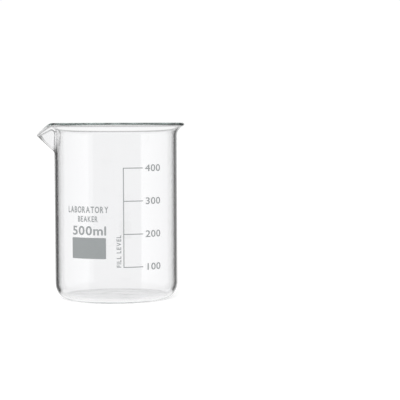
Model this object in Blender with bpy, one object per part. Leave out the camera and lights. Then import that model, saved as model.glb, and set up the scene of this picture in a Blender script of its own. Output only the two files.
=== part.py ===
"""500 ml low-form laboratory beaker: one blown glass vessel with a fired enamel print.

Frame: metres, +Z up. The origin is the centre of the underside, on the vessel's axis.
The spout points along -X and the print faces -Y.
"""

import math

import bmesh
import bpy
from mathutils import Vector

MM = 0.001

# Vessel
HEIGHT = 118.0 * MM
BODY_RADIUS = 41.3 * MM
WALL = 1.8 * MM
FLOOR = 1.8 * MM
CORNER_WIDTH = 8.4 * MM
CORNER_HEIGHT = 10.8 * MM
FLAT_RADIUS = BODY_RADIUS - CORNER_WIDTH

# Rim: the wall bends outward and ends in a fire-polished bead
LIP_START = 96.0 * MM
RIM_REACH = 46.3 * MM
RIM_BEND = 7.0 * MM
RIM_TURN = math.radians(65)
BEAD_RADIUS = 1.2 * MM
BEAD_SWELL = 0.2

# Spout: a keel that leaves the wall and runs straight to a tip below the rim
SPOUT_REACH = 52.6 * MM
SPOUT_DROP = 7.1 * MM
SPOUT_BEND = 3.5 * MM
SPOUT_TURN = math.radians(46.6)
SPOUT_THINNING = 0.4 * MM
THINNING_END = 0.5
SPOUT_ROOT_HALF = math.radians(9)
SPOUT_LIP_HALF = math.radians(19)
KEEL_ROUND = 0.35
EDGE_ROUND = 0.3

# Enamel print: heights are above the underside, arcs run round the wall from the front, + to +X
ENAMEL_GAP = 0.2 * MM
ENAMEL_THICKNESS = 0.15 * MM
FACET_ARC = 2.0 * MM
CUT_MARGIN = 0.06 * MM
STEM_ARC = 4.8 * MM
TICK_END_ARC = 17.9 * MM
LINE_WIDTH = 0.6 * MM
MARK_HEIGHTS = {"400": 88.7 * MM, "300": 67.3 * MM, "200": 45.8 * MM, "100": 24.4 * MM}
PATCH_CENTRE = (-19.1 * MM, 36.7 * MM)
PATCH_SIZE = (24.7 * MM, 13.7 * MM)
PATCH_CORNER = 0.6 * MM
FONT_CAP_HEIGHT = 0.682
NUMERAL_ARC = 19.4 * MM
NUMERAL_LINE = {"cap_height": 4.4 * MM, "stretch": 1.25, "cell": 4.2 * MM, "weight": 0.01}
LINES = {
    "capacity": {
        "text": "500ml",
        "corner": (-31.0 * MM, 45.2 * MM),
        "cap_height": 5.9 * MM,
        "stretch": 1.15,
        "gap": 0.9 * MM,
        "weight": 0.02,
    },
    "caption_top": {
        "text": "LABORATORY",
        "corner": (-35.0 * MM, 59.7 * MM),
        "cap_height": 4.2 * MM,
        "stretch": 0.68,
        "gap": 0.5 * MM,
        "weight": 0.025,
    },
    "caption_bottom": {
        "text": "BEAKER",
        "corner": (-26.6 * MM, 53.8 * MM),
        "cap_height": 3.8 * MM,
        "stretch": 0.68,
        "gap": 0.5 * MM,
        "weight": 0.025,
    },
    "scale_caption": {
        "text": "FILL LEVEL",
        "corner": (3.1 * MM, 24.4 * MM),
        "cap_height": 3.0 * MM,
        "stretch": 0.9,
        "gap": 0.6 * MM,
        "weight": 0.025,
        "upright": True,
    },
}
WORD_SPACE = 1.4 * MM

# Mesh fineness
SPOUT_EDGE = math.radians(27.5)
SPOUT_STEPS = 22
BODY_STEPS = 61
CORNER_STEPS = 6
LIP_STEPS = 12
BEAD_STEPS = 5
PATCH_CORNER_STEPS = 3
GLYPH_RESOLUTION = 2
GLYPH_MERGE = 0.004
SHARPEST_CORNER = 0.5
SHARP_ANGLE = math.radians(35)
PROBE = 1e-4


def clear_scene():
    for obj in list(bpy.data.objects):
        bpy.data.objects.remove(obj, do_unlink=True)


def make_material(name, colour, roughness, transmission=0.0, ior=1.5):
    material = bpy.data.materials.new(name)
    material.use_nodes = True
    shader = material.node_tree.nodes["Principled BSDF"]
    shader.inputs["Base Color"].default_value = (*colour, 1.0)
    shader.inputs["Roughness"].default_value = roughness
    shader.inputs["Metallic"].default_value = 0.0
    shader.inputs["Transmission Weight"].default_value = transmission
    shader.inputs["IOR"].default_value = ior
    return material


def finish_solid(name, closed, material):
    """Turns a closed bmesh into an object whose faces all point out."""
    bmesh.ops.recalc_face_normals(closed, faces=closed.faces)
    if closed.calc_volume(signed=True) < 0:
        bmesh.ops.reverse_faces(closed, faces=closed.faces)
    mesh = bpy.data.meshes.new(name)
    closed.to_mesh(mesh)
    closed.free()
    mesh.materials.append(material)
    mesh.shade_smooth()
    mesh.set_sharp_from_angle(angle=SHARP_ANGLE)
    obj = bpy.data.objects.new(name, mesh)
    bpy.context.collection.objects.link(obj)
    return obj


# ---------------------------------------------------------------- vessel


def lip_path(bend_radius, turn, reach, bead_height, bead):
    """Rise, bend and run that carry the outer wall to a bead of the given reach and height."""
    end_r = reach - bead + bead * math.cos(turn)
    end_z = bead_height - bead * math.sin(turn)
    run = (end_r - BODY_RADIUS - bend_radius * (1 - math.cos(turn))) / math.sin(turn)
    rise = end_z - LIP_START - bend_radius * math.sin(turn) - run * math.cos(turn)
    return rise, bend_radius, turn, run


RIM_PATH = lip_path(RIM_BEND, RIM_TURN, RIM_REACH, HEIGHT - BEAD_RADIUS, BEAD_RADIUS)
KEEL_PATH = lip_path(
    SPOUT_BEND,
    SPOUT_TURN,
    SPOUT_REACH,
    HEIGHT - BEAD_RADIUS - SPOUT_DROP,
    BEAD_RADIUS - SPOUT_THINNING / 2,
)


def path_point(path, share):
    """Radius and height at a share of the way along a rise, a bend and a run."""
    rise, radius, turn, run = path
    along = share * (rise + radius * turn + run)
    risen = min(along, rise)
    angle = min(max(along - rise, 0.0) / radius, turn)
    straight = max(along - rise - radius * turn, 0.0)
    r = BODY_RADIUS + radius * (1 - math.cos(angle)) + straight * math.sin(turn)
    z = LIP_START + risen + radius * math.sin(angle) + straight * math.cos(turn)
    return Vector((r, z))


def smooth_ramp(value, width):
    """The larger of value and 0, rounded over width on each side of 0."""
    share = min(max((value + width) / (2 * width), 0.0), 1.0)
    return value if value > width else 2 * width * (share**3 - share**4 / 2)


def spout_weight(azimuth, share):
    """1 on the keel and 0 clear of the spout: a V with a rounded ridge and rounded edges."""
    half = SPOUT_ROOT_HALF + (SPOUT_LIP_HALF - SPOUT_ROOT_HALF) * share
    side = math.hypot(azimuth / half, KEEL_ROUND) - KEEL_ROUND
    ridge = 1 - side / (math.hypot(1, KEEL_ROUND) - KEEL_ROUND)
    return smooth_ramp(ridge, EDGE_ROUND)


def turned(radius, height, azimuth):
    """The point at an azimuth measured from the spout's direction, -X."""
    return Vector((-radius * math.cos(azimuth), -radius * math.sin(azimuth), height))


def lip_surface(share, azimuth):
    """Outer surface of the wall's upper stretch, rim and spout."""
    weight = spout_weight(azimuth, share)
    r, z = path_point(RIM_PATH, share).lerp(path_point(KEEL_PATH, share), weight)
    return turned(r, z, azimuth)


def lip_normal(share, azimuth):
    """Unit normal into the glass, from the surface's two tangents."""
    low, high = max(share - PROBE, 0.0), min(share + PROBE, 1.0)
    along = lip_surface(high, azimuth) - lip_surface(low, azimuth)
    around = lip_surface(share, azimuth + PROBE) - lip_surface(share, azimuth - PROBE)
    return around.cross(along).normalized() * -1


def lip_thickness(share, azimuth):
    """Wall thickness, swelling to the bead and thinned where the spout is pulled."""
    swell = smooth_ramp(share - 1 + BEAD_SWELL, BEAD_SWELL) / BEAD_SWELL
    thinned = SPOUT_THINNING * spout_weight(azimuth, share) * min(share / THINNING_END, 1.0)
    return WALL + (2 * BEAD_RADIUS - WALL) * swell - thinned


def corner_pair(share, azimuth):
    """Outer and inner points on the base corner, a quarter ellipse outside."""
    angle = share * math.pi / 2
    r = FLAT_RADIUS + CORNER_WIDTH * math.sin(angle)
    z = CORNER_HEIGHT * (1 - math.cos(angle))
    inward = Vector((-math.sin(angle) / CORNER_WIDTH, math.cos(angle) / CORNER_HEIGHT)).normalized()
    thickness = FLOOR + (WALL - FLOOR) * share
    return turned(r, z, azimuth), turned(r + thickness * inward.x, z + thickness * inward.y, azimuth)


def lip_pair(share, azimuth):
    outer = lip_surface(share, azimuth)
    return outer, outer + lip_thickness(share, azimuth) * lip_normal(share, azimuth)


def bead_point(share, azimuth):
    """Point on the half round that closes the lip, from the outer edge to the inner one."""
    outer, inner = lip_pair(1.0, azimuth)
    around = lip_surface(1.0, azimuth + PROBE) - lip_surface(1.0, azimuth - PROBE)
    centre = (outer + inner) / 2
    across = (outer - inner) / 2
    outward = across.cross(around).normalized() * across.length
    if outward.z < 0:
        outward.negate()
    angle = share * math.pi
    return centre + across * math.cos(angle) + outward * math.sin(angle)


def azimuths():
    """Fine steps across the spout, coarser ones round the rest."""
    fine = [SPOUT_EDGE * (2 * k / SPOUT_STEPS - 1) for k in range(SPOUT_STEPS)]
    rest = 2 * math.pi - 2 * SPOUT_EDGE
    return fine + [SPOUT_EDGE + rest * k / BODY_STEPS for k in range(BODY_STEPS)]


def vessel_rings():
    """Rings of points from the edge of the underside, over the rim, down to the floor."""
    around = azimuths()
    corner = [[corner_pair(k / CORNER_STEPS, a) for a in around] for k in range(CORNER_STEPS + 1)]
    lip = [[lip_pair(k / LIP_STEPS, a) for a in around] for k in range(LIP_STEPS + 1)]
    side = corner + lip
    outside = [[outer for outer, _ in ring] for ring in side]
    inside = [[inner for _, inner in ring] for ring in reversed(side)]
    bead = [[bead_point(k / BEAD_STEPS, a) for a in around] for k in range(1, BEAD_STEPS)]
    return outside + bead + inside


def glass_vessel(material):
    mesh_data = bmesh.new()
    rings = [[mesh_data.verts.new(point) for point in ring] for ring in vessel_rings()]
    count = len(rings[0])
    for lower, upper in zip(rings, rings[1:]):
        for k in range(count):
            after = (k + 1) % count
            mesh_data.faces.new((lower[k], lower[after], upper[after], upper[k]))
    for ring, height in ((rings[0], 0.0), (rings[-1], FLOOR)):
        centre = mesh_data.verts.new((0.0, 0.0, height))
        for k in range(count):
            mesh_data.faces.new((ring[k], ring[(k + 1) % count], centre))
    return finish_solid("glass_vessel", mesh_data, material)


# ---------------------------------------------------------------- enamel print


def wrap_on_wall(point):
    """Arc, height and lift off the wall, to a point in the vessel's frame."""
    angle = point.x / BODY_RADIUS
    radius = BODY_RADIUS + ENAMEL_GAP + point.z
    return Vector((radius * math.sin(angle), -radius * math.cos(angle), point.y))


def print_island(name, flat, material):
    """Thickens a flat bmesh of arc and height coordinates and wraps it on the wall."""
    arcs = [vert.co.x for vert in flat.verts]
    for cut in range(math.ceil(min(arcs) / FACET_ARC), math.ceil(max(arcs) / FACET_ARC)):
        everything = flat.verts[:] + flat.edges[:] + flat.faces[:]
        place = Vector((cut * FACET_ARC, 0.0, 0.0))
        bmesh.ops.bisect_plane(
            flat, geom=everything, dist=CUT_MARGIN, plane_co=place, plane_no=(1.0, 0.0, 0.0)
        )
    raised = bmesh.ops.extrude_face_region(flat, geom=flat.faces[:], use_keep_orig=True)["geom"]
    lifted = [item for item in raised if isinstance(item, bmesh.types.BMVert)]
    bmesh.ops.translate(flat, verts=lifted, vec=(0.0, 0.0, ENAMEL_THICKNESS))
    for vert in flat.verts:
        vert.co = wrap_on_wall(vert.co)
    bmesh.ops.triangulate(flat, faces=flat.faces[:])
    return finish_solid(name, flat, material)


def filled_outline(points):
    flat = bmesh.new()
    flat.faces.new([flat.verts.new((x, y, 0.0)) for x, y in points])
    bmesh.ops.triangulate(flat, faces=flat.faces[:])
    return flat


def scale_bracket(material):
    """A stem with a tick to its right at each mark, laid out on a grid of cells."""
    half = LINE_WIDTH / 2
    columns = [STEM_ARC - half, STEM_ARC + half, TICK_END_ARC]
    levels = [height + side for height in sorted(MARK_HEIGHTS.values()) for side in (-half, half)]
    flat = bmesh.new()
    grid = [[flat.verts.new((x, y, 0.0)) for x in columns] for y in levels]
    for level, (lower, upper) in enumerate(zip(grid, grid[1:])):
        is_tick = level % 2 == 0
        for column in range(2 if is_tick else 1):
            flat.faces.new((lower[column], lower[column + 1], upper[column + 1], upper[column]))
    bmesh.ops.delete(flat, geom=[vert for vert in flat.verts if not vert.link_faces], context="VERTS")
    return print_island("scale_bracket", flat, material)


def marking_patch(material):
    """A solid rectangle with slightly rounded corners."""
    points = []
    for quarter in range(4):
        side_x = 1 if quarter in (0, 3) else -1
        side_y = 1 if quarter in (0, 1) else -1
        for step in range(PATCH_CORNER_STEPS + 1):
            angle = math.pi / 2 * (quarter + step / PATCH_CORNER_STEPS)
            x = PATCH_CENTRE[0] + side_x * (PATCH_SIZE[0] / 2 - PATCH_CORNER)
            y = PATCH_CENTRE[1] + side_y * (PATCH_SIZE[1] / 2 - PATCH_CORNER)
            points.append((x + PATCH_CORNER * math.cos(angle), y + PATCH_CORNER * math.sin(angle)))
    return print_island("marking_patch", filled_outline(points), material)


def outward(edge):
    """Unit vector across an outline edge, away from the face that it bounds."""
    start, end = (vert.co for vert in edge.verts)
    across = (end - start).cross(Vector((0.0, 0.0, 1.0))).normalized()
    inward = edge.link_faces[0].calc_center_median() - start
    return -across if across.dot(inward) > 0 else across


def widen_strokes(flat, weight):
    """Moves each corner of a glyph's outline out along its bisector."""
    moves = []
    for vert in flat.verts:
        normals = [outward(edge) for edge in vert.link_edges if edge.is_boundary]
        if len(normals) == 2:
            first, second = normals
            reach = weight / max(1 + first.dot(second), SHARPEST_CORNER)
            moves.append((vert, (first + second) * reach))
    for vert, move in moves:
        vert.co += move


def glyph(character, weight):
    """A flat bmesh of one character of Blender's own font, its strokes widened by a weight."""
    curve = bpy.data.curves.new("glyph", "FONT")
    curve.body = character
    curve.resolution_u = GLYPH_RESOLUTION
    letter = bpy.data.objects.new("glyph", curve)
    mesh = bpy.data.meshes.new_from_object(letter)
    flat = bmesh.new()
    flat.from_mesh(mesh)
    bpy.data.objects.remove(letter)
    bmesh.ops.remove_doubles(flat, verts=flat.verts, dist=GLYPH_MERGE)
    widen_strokes(flat, weight)
    outline = [edge for edge in flat.edges if edge.is_boundary]
    bmesh.ops.delete(flat, geom=flat.faces[:], context="FACES_ONLY")
    inner = [edge for edge in flat.edges if edge not in outline]
    bmesh.ops.delete(flat, geom=inner, context="EDGES")
    bmesh.ops.triangle_fill(flat, use_beauty=True, edges=flat.edges[:])
    return flat


def span(flat, axis):
    values = [vert.co[axis] for vert in flat.verts]
    return min(values), max(values)


def print_line(name, line, material):
    """Sets one line of print, each character a separate island of enamel.

    The corner is the line's lower left, or its lower right where the line runs up the wall.
    """
    arc, height = line["corner"]
    weight = line["weight"]
    scale = line["cap_height"] / (FONT_CAP_HEIGHT + 2 * weight)
    widen = scale * line["stretch"]
    along = 0.0
    for number, character in enumerate(line["text"], 1):
        if character == " ":
            along += WORD_SPACE
            continue
        flat = glyph(character, weight)
        left, right = span(flat, 0)
        width = (right - left) * widen
        margin = (line["cell"] - width) / 2 if "cell" in line else 0.0
        for vert in flat.verts:
            x = along + margin + (vert.co.x - left) * widen
            y = (vert.co.y + weight) * scale
            vert.co = (arc - y, height + x, 0.0) if line.get("upright") else (arc + x, height + y, 0.0)
        print_island(f"{name}_{number}", flat, material)
        along += line["cell"] if "cell" in line else width + line["gap"]


def main():
    clear_scene()
    glass = make_material("borosilicate_glass", (0.95, 0.97, 0.97), 0.0, 1.0, 1.473)
    enamel = make_material("grey_enamel", (0.30, 0.32, 0.32), 0.45)
    glass_vessel(glass)
    scale_bracket(enamel)
    marking_patch(enamel)
    for text, height in MARK_HEIGHTS.items():
        corner = (NUMERAL_ARC, height - NUMERAL_LINE["cap_height"] / 2)
        print_line(f"numeral_{text}", {**NUMERAL_LINE, "text": text, "corner": corner}, enamel)
    for name, line in LINES.items():
        print_line(name, line, enamel)


main()
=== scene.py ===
"""Looks for the low-form glass beaker: fine glass, fired enamel print, studio, camera.

Metres, +Z up, the CAD frame: origin at the centre of the underside, spout towards -X,
print towards -Y. The vessel and the print are made again here from the CAD's own rules,
on a finer mesh, and each fine piece stands for the CAD nodes of the same name.
"""

import math

import bmesh
import bpy
from mathutils import Euler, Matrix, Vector, noise


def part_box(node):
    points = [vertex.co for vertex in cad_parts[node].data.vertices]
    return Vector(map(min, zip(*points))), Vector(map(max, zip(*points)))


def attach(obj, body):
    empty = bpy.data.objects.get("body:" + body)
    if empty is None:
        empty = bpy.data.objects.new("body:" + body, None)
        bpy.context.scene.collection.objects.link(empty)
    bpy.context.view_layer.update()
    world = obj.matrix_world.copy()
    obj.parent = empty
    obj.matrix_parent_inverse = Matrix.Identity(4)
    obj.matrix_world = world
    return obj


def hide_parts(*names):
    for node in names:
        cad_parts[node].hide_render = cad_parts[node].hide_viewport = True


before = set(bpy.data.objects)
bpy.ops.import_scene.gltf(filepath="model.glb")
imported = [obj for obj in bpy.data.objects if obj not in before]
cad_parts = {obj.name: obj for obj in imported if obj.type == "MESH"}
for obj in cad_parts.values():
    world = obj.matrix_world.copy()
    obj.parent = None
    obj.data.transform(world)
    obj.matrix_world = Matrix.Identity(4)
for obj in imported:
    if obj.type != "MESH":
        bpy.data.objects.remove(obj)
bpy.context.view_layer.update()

MM = 0.001
VESSEL_LOW, VESSEL_HIGH = (Vector(corner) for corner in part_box("glass_vessel"))

# Vessel, as in the CAD
HEIGHT = VESSEL_HIGH.z
BODY_RADIUS = 41.3 * MM
WALL = 1.8 * MM
FLOOR = 1.8 * MM
CORNER_WIDTH = 8.4 * MM
CORNER_HEIGHT = 10.8 * MM
FLAT_RADIUS = BODY_RADIUS - CORNER_WIDTH
LIP_START = 96.0 * MM
RIM_REACH = VESSEL_HIGH.x
RIM_BEND = 7.0 * MM
RIM_TURN = math.radians(65)
BEAD_RADIUS = 1.2 * MM
BEAD_SWELL = 0.2
SPOUT_REACH = -VESSEL_LOW.x
SPOUT_DROP = 7.1 * MM
SPOUT_BEND = 3.5 * MM
SPOUT_TURN = math.radians(46.6)
SPOUT_THINNING = 0.4 * MM
THINNING_END = 0.5
SPOUT_ROOT_HALF = math.radians(9)
SPOUT_LIP_HALF = math.radians(19)
KEEL_ROUND = 0.35
EDGE_ROUND = 0.3

# Vessel, fineness and the unevenness of blown glass
SPOUT_EDGE = math.radians(27.5)
SPOUT_STEPS = 88
BODY_STEPS = 244
FLAT_STEPS = 10
CORNER_STEPS = 22
WALL_STEPS = 8
LIP_STEPS = 52
BEAD_STEPS = 14
PROBE = 1e-4
WALL_WAVE = 0.02 * MM
WALL_WAVE_SCALE = 28
FLOOR_WAVE = 0.14 * MM
FLOOR_WAVE_SCALE = 75
SHARP_ANGLE = math.radians(40)

# Print, as in the CAD but lying on the glass
ENAMEL_GAP = 0.02 * MM
ENAMEL_THICKNESS = 0.06 * MM
FACET_ARC = 0.6 * MM
CUT_MARGIN = 0.02 * MM
STEM_ARC = 4.8 * MM
TICK_END_ARC = 17.9 * MM
LINE_WIDTH = 0.6 * MM
MARK_HEIGHTS = {"400": 88.7 * MM, "300": 67.3 * MM, "200": 45.8 * MM, "100": 24.4 * MM}
PATCH_CENTRE = (-19.1 * MM, 36.7 * MM)
PATCH_SIZE = (24.7 * MM, 13.7 * MM)
PATCH_CORNER = 0.6 * MM
PATCH_CORNER_STEPS = 6
FONT_CAP_HEIGHT = 0.682
NUMERAL_ARC = 19.4 * MM
NUMERAL_LINE = {"cap_height": 4.4 * MM, "stretch": 1.25, "cell": 4.2 * MM, "weight": 0.01, "curve": 6}
LINES = {
    "capacity": {
        "text": "500ml",
        "corner": (-31.0 * MM, 45.2 * MM),
        "cap_height": 5.9 * MM,
        "stretch": 1.15,
        "gap": 0.9 * MM,
        "weight": 0.02,
        "curve": 4,
    },
    "caption_top": {
        "text": "LABORATORY",
        "corner": (-35.0 * MM, 59.7 * MM),
        "cap_height": 4.2 * MM,
        "stretch": 0.68,
        "gap": 0.5 * MM,
        "weight": 0.025,
        "curve": 3,
    },
    "caption_bottom": {
        "text": "BEAKER",
        "corner": (-26.6 * MM, 53.8 * MM),
        "cap_height": 3.8 * MM,
        "stretch": 0.68,
        "gap": 0.5 * MM,
        "weight": 0.025,
        "curve": 3,
    },
    "scale_caption": {
        "text": "FILL LEVEL",
        "corner": (3.1 * MM, 24.4 * MM),
        "cap_height": 3.0 * MM,
        "stretch": 0.9,
        "gap": 0.6 * MM,
        "weight": 0.025,
        "curve": 3,
        "upright": True,
    },
}
WORD_SPACE = 1.4 * MM
GLYPH_MERGE = 0.004
SHARPEST_CORNER = 0.5

# Camera: level with the rim, square to the print, the beaker left of the frame's centre
CAMERA_DISTANCE = 953.0 * MM
CAMERA_LENS = 127.1
CAMERA_YAW = math.radians(3.404)
CAMERA_PITCH = math.radians(3.142)
CAMERA_ROLL = math.radians(0.2)
CAMERA_NEAR = 10.0 * MM

# Materials: their slots, the glass's painted shade by facing (0 head-on, 1 glancing), the enamel by
# grain
WHITE = (1.0, 1.0, 1.0, 1.0)
GLASS_IOR = 1.473
# Painted shade: the glass's colour darkens towards glancing angles, standing in for dark edges from
# what the glass bends and mirrors.
GLASS_FACING_SHADE = ((0.0, 0.985), (0.6, 0.975), (0.72, 0.9), (0.85, 0.5), (1.0, 0.25))
GLASS_BLUE = 1.005
GLASS_FACING_BLEND = 0.5
GLASS_DEPTH_COLOUR = (0.80, 0.84, 0.83, 1.0)
GLASS_DEPTH_DENSITY = 12.0
ENAMEL_GRAIN_SCALE = 2600.0
ENAMEL_GRAIN_DETAIL = 5.0
ENAMEL_TONES = ((0.3, (0.205, 0.218, 0.221)), (0.7, (0.243, 0.257, 0.26)))
ENAMEL_ROUGHNESS = (0.36, 0.55)
ENAMEL_BUMP_STRENGTH = 0.25
ENAMEL_BUMP_DEPTH = 0.01 * MM

# Painted shade on the rim's bead and along the keel, darkening the glass's colour: where it starts and
# ends, and how dark
EDGE_SHADE_COLOUR = (0.25, 0.25, 0.25, 1.0)
RIM_SHADE_START = 0.95
RIM_SHADE_END = 0.985
SPOUT_SHADE_START = 0.985
SPOUT_SHADE_END = 0.999
KEEL_SHADE_START = 0.92
KEEL_SHADE_END = 0.98
BEAD_TOP_SHADE = 0.1
SPOUT_CLEARING = 0.8
KEEL_SHADE = 0.3
KEEL_SHADE_RISE = 0.4

# Light: greys round the horizon, by degrees from +Y towards +X
AROUND = (
    (-180, 0.65),
    (-128, 0.65),
    (-127, 1.3),
    (-55, 0.85),
    (-45, 0.08),
    (-23, 0.08),
    (-18, 0.45),
    (-14, 0.92),
    (-12, 0.95),
    (9, 0.95),
    (15, 0.88),
    (20, 0.5),
    (27, 0.12),
    (45, 0.12),
    (52, 0.85),
    (132, 1.4),
    (133, 0.65),
    (180, 0.65),
)
# Greys below and above those, and where the ones round the horizon show, by sine of elevation
OUTSIDE = ((-0.1, 0.95), (0.3, 0.7), (0.6, 0.5), (1.0, 0.55))
BAND = ((-0.34, 0.0), (-0.3, 1.0), (0.4, 1.0), (0.6, 0.0))
WORLD_STRENGTH = 1.02
FILL_SIZE = 0.8
FILL_ENERGY = 9.0
FILL_PLACE = (-0.35, -1.1, 0.55)
FILL_TARGET = (0.0, 0.0, 0.05)
LIGHT_BOUNCES = 128

# Floor
PAPER_RADIUS = 6.0
PAPER_STEPS = 96
PAPER_DROP = 0.06 * MM
PAPER_TONE = (0.8, 0.8, 0.8, 1.0)
PAPER_GLOW = 0.6
PAPER_ROUGHNESS = 0.9


# ---------------------------------------------------------------- materials


def new_material(name):
    material = bpy.data.materials.new(name)
    material.use_nodes = True
    return material, material.node_tree.nodes, material.node_tree.links


def set_ramp(ramp, stops):
    """Places a colour ramp's stops, each a place and a colour."""
    elements = ramp.color_ramp.elements
    while len(elements) < len(stops):
        elements.new(0.5)
    for element, (place, colour) in zip(elements, stops):
        element.position = place
        element.color = (*colour, 1.0)


def mix_colours(nodes, links, share, first, second):
    """Blends two colours, each a plain colour or a socket."""
    blend = nodes.new("ShaderNodeMix")
    blend.data_type = "RGBA"
    links.new(share, blend.inputs["Factor"])
    for name, colour in (("A", first), ("B", second)):
        if isinstance(colour, tuple):
            blend.inputs[name].default_value = colour
        else:
            links.new(colour, blend.inputs[name])
    return blend.outputs["Result"]


def glass_material():
    """Clear borosilicate, its colour darkened as painted shade at glancing angles and on the rim's
    bead and keel.
    """
    material, nodes, links = new_material("fine_glass")
    shader = nodes["Principled BSDF"]
    shader.inputs["Roughness"].default_value = 0.0
    shader.inputs["IOR"].default_value = GLASS_IOR
    shader.inputs["Transmission Weight"].default_value = 1.0
    # Painted shade: the colour darkens where a ray meets the glass at a glancing angle.
    facing = nodes.new("ShaderNodeLayerWeight")
    facing.inputs["Blend"].default_value = GLASS_FACING_BLEND
    ramp = nodes.new("ShaderNodeValToRGB")
    set_ramp(ramp, [(place, (grey, grey, grey * GLASS_BLUE)) for place, grey in GLASS_FACING_SHADE])
    links.new(facing.outputs["Facing"], ramp.inputs["Fac"])
    # Painted shade: the edge attribute darkens the glass's colour on the rim's bead and along the
    # keel.
    edge = nodes.new("ShaderNodeAttribute")
    edge.attribute_name = "edge"
    shaded = mix_colours(nodes, links, edge.outputs["Fac"], ramp.outputs["Color"], EDGE_SHADE_COLOUR)
    links.new(shaded, shader.inputs["Base Color"])
    absorb = nodes.new("ShaderNodeVolumeAbsorption")
    absorb.inputs["Color"].default_value = GLASS_DEPTH_COLOUR
    absorb.inputs["Density"].default_value = GLASS_DEPTH_DENSITY
    links.new(absorb.outputs["Volume"], nodes["Material Output"].inputs["Volume"])
    return material


def enamel_material():
    """Fired grey enamel: fine mottling, a satin face and a slightly grainy surface."""
    material, nodes, links = new_material("fired_enamel")
    shader = nodes["Principled BSDF"]
    place = nodes.new("ShaderNodeTexCoord")
    grain = nodes.new("ShaderNodeTexNoise")
    grain.inputs["Scale"].default_value = ENAMEL_GRAIN_SCALE
    grain.inputs["Detail"].default_value = ENAMEL_GRAIN_DETAIL
    tone = nodes.new("ShaderNodeValToRGB")
    set_ramp(tone, ENAMEL_TONES)
    polish = nodes.new("ShaderNodeMapRange")
    polish.inputs["To Min"].default_value = ENAMEL_ROUGHNESS[0]
    polish.inputs["To Max"].default_value = ENAMEL_ROUGHNESS[1]
    relief = nodes.new("ShaderNodeBump")
    relief.inputs["Strength"].default_value = ENAMEL_BUMP_STRENGTH
    relief.inputs["Distance"].default_value = ENAMEL_BUMP_DEPTH
    links.new(place.outputs["Object"], grain.inputs["Vector"])
    links.new(grain.outputs["Fac"], tone.inputs["Fac"])
    links.new(grain.outputs["Fac"], polish.inputs["Value"])
    links.new(grain.outputs["Fac"], relief.inputs["Height"])
    links.new(tone.outputs["Color"], shader.inputs["Base Color"])
    links.new(polish.outputs["Result"], shader.inputs["Roughness"])
    links.new(relief.outputs["Normal"], shader.inputs["Normal"])
    return material


# ---------------------------------------------------------------- pieces


def face_outwards(closed):
    """Points the faces of a closed bmesh out."""
    bmesh.ops.recalc_face_normals(closed, faces=closed.faces)
    if closed.calc_volume(signed=True) < 0:
        bmesh.ops.reverse_faces(closed, faces=closed.faces)


def add_object(name, shape, material):
    """Turns a bmesh into an object of one material."""
    mesh = bpy.data.meshes.new(name)
    shape.to_mesh(mesh)
    shape.free()
    mesh.materials.append(material)
    added = bpy.data.objects.new(name, mesh)
    bpy.context.collection.objects.link(added)
    return added


def finish_piece(name, closed, material, nodes):
    """Turns a closed bmesh into a smooth piece that rides on the root and stands for CAD nodes."""
    face_outwards(closed)
    piece = add_object(name, closed, material)
    piece.data.shade_smooth()
    piece.data.set_sharp_from_angle(angle=SHARP_ANGLE)
    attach(piece, "root")
    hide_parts(*nodes)


# ---------------------------------------------------------------- vessel


def lip_path(bend_radius, turn, reach, bead_height, bead):
    """Rise, bend and run that carry the outer wall to a bead of the given reach and height."""
    end_r = reach - bead + bead * math.cos(turn)
    end_z = bead_height - bead * math.sin(turn)
    run = (end_r - BODY_RADIUS - bend_radius * (1 - math.cos(turn))) / math.sin(turn)
    rise = end_z - LIP_START - bend_radius * math.sin(turn) - run * math.cos(turn)
    return rise, bend_radius, turn, run


RIM_PATH = lip_path(RIM_BEND, RIM_TURN, RIM_REACH, HEIGHT - BEAD_RADIUS, BEAD_RADIUS)
KEEL_PATH = lip_path(
    SPOUT_BEND,
    SPOUT_TURN,
    SPOUT_REACH,
    HEIGHT - BEAD_RADIUS - SPOUT_DROP,
    BEAD_RADIUS - SPOUT_THINNING / 2,
)


def path_point(path, share):
    """Radius and height at a share of the way along a rise, a bend and a run."""
    rise, radius, turn, run = path
    along = share * (rise + radius * turn + run)
    risen = min(along, rise)
    angle = min(max(along - rise, 0.0) / radius, turn)
    straight = max(along - rise - radius * turn, 0.0)
    r = BODY_RADIUS + radius * (1 - math.cos(angle)) + straight * math.sin(turn)
    z = LIP_START + risen + radius * math.sin(angle) + straight * math.cos(turn)
    return Vector((r, z))


def smooth_ramp(value, width):
    """The larger of value and 0, rounded over width on each side of 0."""
    share = min(max((value + width) / (2 * width), 0.0), 1.0)
    return value if value > width else 2 * width * (share**3 - share**4 / 2)


def spout_weight(azimuth, share):
    """1 on the keel and 0 clear of the spout: a V with a rounded ridge and rounded edges."""
    half = SPOUT_ROOT_HALF + (SPOUT_LIP_HALF - SPOUT_ROOT_HALF) * share
    side = math.hypot(azimuth / half, KEEL_ROUND) - KEEL_ROUND
    ridge = 1 - side / (math.hypot(1, KEEL_ROUND) - KEEL_ROUND)
    return smooth_ramp(ridge, EDGE_ROUND)


def turned(radius, height, azimuth):
    """The point at an azimuth measured from the spout's direction, -X."""
    return Vector((-radius * math.cos(azimuth), -radius * math.sin(azimuth), height))


def lip_surface(share, azimuth):
    """Outer surface of the wall's upper stretch, rim and spout."""
    weight = spout_weight(azimuth, share)
    r, z = path_point(RIM_PATH, share).lerp(path_point(KEEL_PATH, share), weight)
    return turned(r, z, azimuth)


def lip_normal(share, azimuth):
    """Unit normal into the glass, from the surface's two tangents."""
    low, high = max(share - PROBE, 0.0), min(share + PROBE, 1.0)
    along = lip_surface(high, azimuth) - lip_surface(low, azimuth)
    around = lip_surface(share, azimuth + PROBE) - lip_surface(share, azimuth - PROBE)
    return around.cross(along).normalized() * -1


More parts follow.
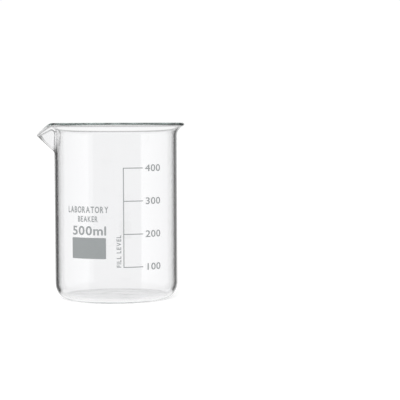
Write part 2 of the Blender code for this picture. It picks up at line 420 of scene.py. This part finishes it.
def lip_thickness(share, azimuth):
    """Wall thickness, swelling to the bead and thinned where the spout is pulled."""
    swell = smooth_ramp(share - 1 + BEAD_SWELL, BEAD_SWELL) / BEAD_SWELL
    thinned = SPOUT_THINNING * spout_weight(azimuth, share) * min(share / THINNING_END, 1.0)
    return WALL + (2 * BEAD_RADIUS - WALL) * swell - thinned


def lip_pair(share, azimuth):
    """Outer and inner points on the wall's upper stretch, rim and spout."""
    outer = lip_surface(share, azimuth)
    return outer, outer + lip_thickness(share, azimuth) * lip_normal(share, azimuth)


def wall_pair(share, azimuth):
    """Outer and inner points on the straight wall, its inside a little uneven."""
    z = CORNER_HEIGHT + (LIP_START - CORNER_HEIGHT) * share
    inner = turned(BODY_RADIUS - WALL, z, azimuth)
    wave = WALL_WAVE * math.sin(math.pi * share) * noise.noise(inner * WALL_WAVE_SCALE)
    return turned(BODY_RADIUS, z, azimuth), turned(BODY_RADIUS - WALL + wave, z, azimuth)


def corner_pair(share, azimuth):
    """Outer and inner points on the base corner, a quarter ellipse outside."""
    angle = share * math.pi / 2
    r = FLAT_RADIUS + CORNER_WIDTH * math.sin(angle)
    z = CORNER_HEIGHT * (1 - math.cos(angle))
    inward = Vector((-math.sin(angle) / CORNER_WIDTH, math.cos(angle) / CORNER_HEIGHT)).normalized()
    thickness = FLOOR + (WALL - FLOOR) * share
    inner = turned(r + thickness * inward.x, z + thickness * inward.y, azimuth)
    inner.z += floor_wave(inner) * (1 - share) ** 2
    return turned(r, z, azimuth), inner


def floor_wave(point):
    """Height of the gentle unevenness that blowing leaves in the floor."""
    return FLOOR_WAVE * noise.noise(Vector((point.x, point.y, 0.0)) * FLOOR_WAVE_SCALE)


def flat_pair(share, azimuth):
    """Outer and inner points on the flat base."""
    outer = turned(FLAT_RADIUS * share, 0.0, azimuth)
    inner = turned(FLAT_RADIUS * share, FLOOR, azimuth)
    inner.z += floor_wave(inner)
    return outer, inner


def bead_point(share, azimuth):
    """Point on the half round that closes the lip, from the outer edge to the inner one."""
    outer, inner = lip_pair(1.0, azimuth)
    around = lip_surface(1.0, azimuth + PROBE) - lip_surface(1.0, azimuth - PROBE)
    centre = (outer + inner) / 2
    across = (outer - inner) / 2
    outward = across.cross(around).normalized() * across.length
    if outward.z < 0:
        outward.negate()
    angle = share * math.pi
    return centre + across * math.cos(angle) + outward * math.sin(angle)


def azimuths():
    """Fine steps across the spout, coarser ones round the rest."""
    fine = [SPOUT_EDGE * (2 * k / SPOUT_STEPS - 1) for k in range(SPOUT_STEPS)]
    rest = 2 * math.pi - 2 * SPOUT_EDGE
    return fine + [SPOUT_EDGE + rest * k / BODY_STEPS for k in range(BODY_STEPS)]


def zone_rings(value, steps):
    """A zone's value at every azimuth, in rings from its first step to its end."""
    around = azimuths()
    return [[value(k / steps, azimuth) for azimuth in around] for k in range(1, steps + 1)]


def vessel_rings():
    """Rings of points, and their painted shade, from the middle of the underside over the rim to the
    floor.
    """
    side = zone_rings(flat_pair, FLAT_STEPS)
    side += zone_rings(corner_pair, CORNER_STEPS)
    side += zone_rings(wall_pair, WALL_STEPS)
    around = azimuths()
    edge_shades = [[0.0] * len(around) for _ in side]
    side += zone_rings(lip_pair, LIP_STEPS)
    edge_shades += zone_rings(edge_shade, LIP_STEPS)
    outside = [[outer for outer, _ in ring] for ring in side]
    inside = [[inner for _, inner in ring] for ring in reversed(side)]
    bead = [[bead_point(k / BEAD_STEPS, a) for a in around] for k in range(1, BEAD_STEPS)]
    fading = [1 - (1 - BEAD_TOP_SHADE) * clamped(2 * k / BEAD_STEPS) for k in range(1, BEAD_STEPS)]
    bead_shades = [[tint] * len(around) for tint in fading]
    return outside + bead + inside, edge_shades + bead_shades + edge_shades[::-1]


def edge_shade(share, azimuth):
    """How much painted shade darkens the glass: most in the rim's bead, a little along the keel, 0
    elsewhere.
    """
    weight = spout_weight(azimuth, share)
    start = RIM_SHADE_START + (SPOUT_SHADE_START - RIM_SHADE_START) * weight
    end = RIM_SHADE_END + (SPOUT_SHADE_END - RIM_SHADE_END) * weight
    rim = clamped((share - start) / (end - start)) * (1 - SPOUT_CLEARING * weight)
    keel = clamped((weight - KEEL_SHADE_START) / (KEEL_SHADE_END - KEEL_SHADE_START))
    return max(rim, KEEL_SHADE * keel * clamped(share / KEEL_SHADE_RISE))


def clamped(value):
    return min(max(value, 0.0), 1.0)


def make_vessel(material):
    """Skins the rings and closes the middles of the underside and of the floor."""
    vessel = bmesh.new()
    # The edge layer holds the painted shade of the rim's bead and the keel.
    edge = vessel.verts.layers.float.new("edge")
    points, edge_shades = vessel_rings()
    rings = [[vessel.verts.new(point) for point in ring] for ring in points]
    for ring, shades in zip(rings, edge_shades):
        for vert, shade in zip(ring, shades):
            vert[edge] = shade
    count = len(rings[0])
    for lower, upper in zip(rings, rings[1:]):
        for k in range(count):
            after = (k + 1) % count
            vessel.faces.new((lower[k], lower[after], upper[after], upper[k]))
    centre = Vector((0.0, 0.0, FLOOR))
    tops = ((rings[0], Vector()), (rings[-1], centre + Vector((0.0, 0.0, floor_wave(centre)))))
    for ring, point in tops:
        middle = vessel.verts.new(point)
        for k in range(count):
            vessel.faces.new((ring[k], ring[(k + 1) % count], middle))
    finish_piece("vessel_glass", vessel, material, ["glass_vessel"])


# ---------------------------------------------------------------- print


def wrap_on_wall(point):
    """Arc, height and lift off the wall, to a point in the vessel's frame."""
    angle = point.x / BODY_RADIUS
    radius = BODY_RADIUS + ENAMEL_GAP + point.z
    return Vector((radius * math.sin(angle), -radius * math.cos(angle), point.y))


def raise_print(flat):
    """Thickens a flat bmesh of arc and height coordinates and wraps it on the wall."""
    arcs = [vert.co.x for vert in flat.verts]
    for cut in range(math.ceil(min(arcs) / FACET_ARC), math.ceil(max(arcs) / FACET_ARC)):
        everything = flat.verts[:] + flat.edges[:] + flat.faces[:]
        place = Vector((cut * FACET_ARC, 0.0, 0.0))
        bmesh.ops.bisect_plane(
            flat, geom=everything, dist=CUT_MARGIN, plane_co=place, plane_no=(1.0, 0.0, 0.0)
        )
    raised = bmesh.ops.extrude_face_region(flat, geom=flat.faces[:], use_keep_orig=True)["geom"]
    lifted = [item for item in raised if isinstance(item, bmesh.types.BMVert)]
    bmesh.ops.translate(flat, verts=lifted, vec=(0.0, 0.0, ENAMEL_THICKNESS))
    for vert in flat.verts:
        vert.co = wrap_on_wall(vert.co)
    bmesh.ops.triangulate(flat, faces=flat.faces[:])


def make_bracket(material):
    """A stem with a tick to its right at each mark, laid out on a grid of cells."""
    half = LINE_WIDTH / 2
    columns = [STEM_ARC - half, STEM_ARC + half, TICK_END_ARC]
    levels = [height + side for height in sorted(MARK_HEIGHTS.values()) for side in (-half, half)]
    flat = bmesh.new()
    grid = [[flat.verts.new((x, y, 0.0)) for x in columns] for y in levels]
    for level, (lower, upper) in enumerate(zip(grid, grid[1:])):
        is_tick = level % 2 == 0
        for column in range(2 if is_tick else 1):
            flat.faces.new((lower[column], lower[column + 1], upper[column + 1], upper[column]))
    bmesh.ops.delete(flat, geom=[vert for vert in flat.verts if not vert.link_faces], context="VERTS")
    raise_print(flat)
    finish_piece("print_bracket", flat, material, ["scale_bracket"])


def make_patch(material):
    """A solid rectangle with slightly rounded corners."""
    flat = bmesh.new()
    corners = []
    for quarter in range(4):
        side_x = 1 if quarter in (0, 3) else -1
        side_y = 1 if quarter in (0, 1) else -1
        for step in range(PATCH_CORNER_STEPS + 1):
            angle = math.pi / 2 * (quarter + step / PATCH_CORNER_STEPS)
            x = PATCH_CENTRE[0] + side_x * (PATCH_SIZE[0] / 2 - PATCH_CORNER)
            y = PATCH_CENTRE[1] + side_y * (PATCH_SIZE[1] / 2 - PATCH_CORNER)
            place = (x + PATCH_CORNER * math.cos(angle), y + PATCH_CORNER * math.sin(angle), 0.0)
            corners.append(flat.verts.new(place))
    flat.faces.new(corners)
    raise_print(flat)
    finish_piece("print_patch", flat, material, ["marking_patch"])


def outward(edge):
    """Unit vector across an outline edge, away from the face that it bounds."""
    start, end = (vert.co for vert in edge.verts)
    across = (end - start).cross(Vector((0.0, 0.0, 1.0))).normalized()
    inward = edge.link_faces[0].calc_center_median() - start
    return -across if across.dot(inward) > 0 else across


def widen_strokes(flat, weight):
    """Moves each corner of a glyph's outline out along its bisector."""
    moves = []
    for vert in flat.verts:
        normals = [outward(edge) for edge in vert.link_edges if edge.is_boundary]
        if len(normals) == 2:
            first, second = normals
            reach = weight / max(1 + first.dot(second), SHARPEST_CORNER)
            moves.append((vert, (first + second) * reach))
    for vert, move in moves:
        vert.co += move


def glyph(character, weight, resolution):
    """A flat bmesh of one character of Blender's own font, its strokes widened by a weight."""
    curve = bpy.data.curves.new("glyph", "FONT")
    curve.body = character
    curve.resolution_u = resolution
    letter = bpy.data.objects.new("glyph", curve)
    mesh = bpy.data.meshes.new_from_object(letter)
    flat = bmesh.new()
    flat.from_mesh(mesh)
    bpy.data.objects.remove(letter)
    bpy.data.meshes.remove(mesh)
    bmesh.ops.remove_doubles(flat, verts=flat.verts, dist=GLYPH_MERGE)
    widen_strokes(flat, weight)
    outline = [edge for edge in flat.edges if edge.is_boundary]
    bmesh.ops.delete(flat, geom=flat.faces[:], context="FACES_ONLY")
    inner = [edge for edge in flat.edges if edge not in outline]
    bmesh.ops.delete(flat, geom=inner, context="EDGES")
    bmesh.ops.triangle_fill(flat, use_beauty=True, edges=flat.edges[:])
    return flat


def make_line(name, line, material):
    """Sets one line of print, whose islands stand for the CAD nodes name_1, name_2 and so on."""
    arc, height = line["corner"]
    weight = line["weight"]
    scale = line["cap_height"] / (FONT_CAP_HEIGHT + 2 * weight)
    widen = scale * line["stretch"]
    along = 0.0
    whole = bmesh.new()
    nodes = []
    for number, character in enumerate(line["text"], 1):
        if character == " ":
            along += WORD_SPACE
            continue
        flat = glyph(character, weight, line["curve"])
        xs = [vert.co.x for vert in flat.verts]
        width = (max(xs) - min(xs)) * widen
        margin = (line["cell"] - width) / 2 if "cell" in line else 0.0
        for vert in flat.verts:
            x = along + margin + (vert.co.x - min(xs)) * widen
            y = (vert.co.y + weight) * scale
            vert.co = (arc - y, height + x, 0.0) if line.get("upright") else (arc + x, height + y, 0.0)
        raise_print(flat)
        add_island(whole, flat)
        nodes.append(f"{name}_{number}")
        along += line["cell"] if "cell" in line else width + line["gap"]
    finish_piece(f"print_{name}", whole, material, nodes)


def add_island(whole, island):
    """Adds a closed island to a bmesh, its faces pointing out."""
    face_outwards(island)
    copied = {vert: whole.verts.new(vert.co) for vert in island.verts}
    for face in island.faces:
        whole.faces.new([copied[vert] for vert in face.verts])
    island.free()


def make_print(material):
    make_bracket(material)
    make_patch(material)
    for text, height in MARK_HEIGHTS.items():
        corner = (NUMERAL_ARC, height - NUMERAL_LINE["cap_height"] / 2)
        make_line(f"numeral_{text}", {**NUMERAL_LINE, "text": text, "corner": corner}, material)
    for name, line in LINES.items():
        make_line(name, line, material)


# ---------------------------------------------------------------- studio


def make_floor():
    """A plain pale disc, hidden from rays that the glass mirrors or bends."""
    material, nodes, _ = new_material("floor_paper")
    shader = nodes["Principled BSDF"]
    shader.inputs["Base Color"].default_value = PAPER_TONE
    shader.inputs["Roughness"].default_value = PAPER_ROUGHNESS
    shader.inputs["Specular IOR Level"].default_value = 0.0
    shader.inputs["Emission Color"].default_value = WHITE
    shader.inputs["Emission Strength"].default_value = PAPER_GLOW
    disc = bmesh.new()
    bmesh.ops.create_circle(disc, cap_ends=True, segments=PAPER_STEPS, radius=PAPER_RADIUS)
    floor = add_object("studio_floor", disc, material)
    floor.location.z = -PAPER_DROP
    floor.visible_glossy = False
    floor.visible_transmission = False


def make_fill():
    """A soft front light for the print, hidden from rays that the glass mirrors or bends."""
    lamp = bpy.data.lights.new("fill", "AREA")
    lamp.shape = "DISK"
    lamp.size = FILL_SIZE
    lamp.energy = FILL_ENERGY
    fill = bpy.data.objects.new("fill", lamp)
    fill.location = FILL_PLACE
    aim = Vector(FILL_TARGET) - fill.location
    fill.rotation_euler = aim.to_track_quat("-Z", "Y").to_euler()
    fill.visible_camera = False
    fill.visible_glossy = False
    fill.visible_transmission = False
    bpy.context.collection.objects.link(fill)


def share_between(nodes, links, value, low, high):
    """0 where a value is low, 1 where it is high."""
    share = nodes.new("ShaderNodeMapRange")
    share.inputs["From Min"].default_value = low
    share.inputs["From Max"].default_value = high
    links.new(value, share.inputs["Value"])
    return share.outputs["Result"]


def grey_ramp(nodes, links, value, stops):
    """Greys along a value that runs from 0 to 1."""
    ramp = nodes.new("ShaderNodeValToRGB")
    set_ramp(ramp, [(place, (grey,) * 3) for place, grey in stops])
    links.new(value, ramp.inputs["Fac"])
    return ramp.outputs["Color"]


def by_elevation(stops):
    """Moves stops from the sine of elevation, -1 to 1, to the ramp's 0 to 1."""
    return [((sine + 1) / 2, grey) for sine, grey in stops]


def make_world():
    """Soft boxes and dark flags, which the glass mirrors and bends and the camera sees as white."""
    world = bpy.data.worlds.new("studio")
    world.use_nodes = True
    nodes, links = world.node_tree.nodes, world.node_tree.links
    place = nodes.new("ShaderNodeTexCoord")
    axes = nodes.new("ShaderNodeSeparateXYZ")
    links.new(place.outputs["Generated"], axes.inputs["Vector"])
    bearing = nodes.new("ShaderNodeMath")
    bearing.operation = "ARCTAN2"
    links.new(axes.outputs["X"], bearing.inputs[0])
    links.new(axes.outputs["Y"], bearing.inputs[1])
    turn = share_between(nodes, links, bearing.outputs["Value"], -math.pi, math.pi)
    rise = share_between(nodes, links, axes.outputs["Z"], -1.0, 1.0)
    around = grey_ramp(nodes, links, turn, [((degrees + 180) / 360, grey) for degrees, grey in AROUND])
    outside = grey_ramp(nodes, links, rise, by_elevation(OUTSIDE))
    band = grey_ramp(nodes, links, rise, by_elevation(BAND))
    bent = mix_colours(nodes, links, band, outside, around)
    kind = nodes.new("ShaderNodeLightPath")
    shown = mix_colours(nodes, links, kind.outputs["Is Camera Ray"], bent, WHITE)
    backdrop = nodes["Background"]
    links.new(shown, backdrop.inputs["Color"])
    backdrop.inputs["Strength"].default_value = WORLD_STRENGTH
    bpy.context.scene.world = world


def make_camera():
    data = bpy.data.cameras.new("camera")
    data.lens = CAMERA_LENS
    data.clip_start = CAMERA_NEAR
    camera = bpy.data.objects.new("camera", data)
    camera.location = (0.0, -CAMERA_DISTANCE, HEIGHT)
    aim = Euler((math.pi / 2 - CAMERA_PITCH, 0.0, -CAMERA_YAW)).to_matrix()
    roll = Euler((0.0, 0.0, -CAMERA_ROLL)).to_matrix()
    camera.rotation_euler = (aim @ roll).to_euler()
    bpy.context.collection.objects.link(camera)
    bpy.context.scene.camera = camera


make_camera()
make_world()
make_floor()
make_fill()
make_vessel(glass_material())
make_print(enamel_material())
bpy.context.scene.view_settings.view_transform = "Standard"
bpy.context.scene.cycles.max_bounces = LIGHT_BOUNCES
bpy.context.scene.cycles.glossy_bounces = LIGHT_BOUNCES
bpy.context.scene.cycles.transmission_bounces = LIGHT_BOUNCES
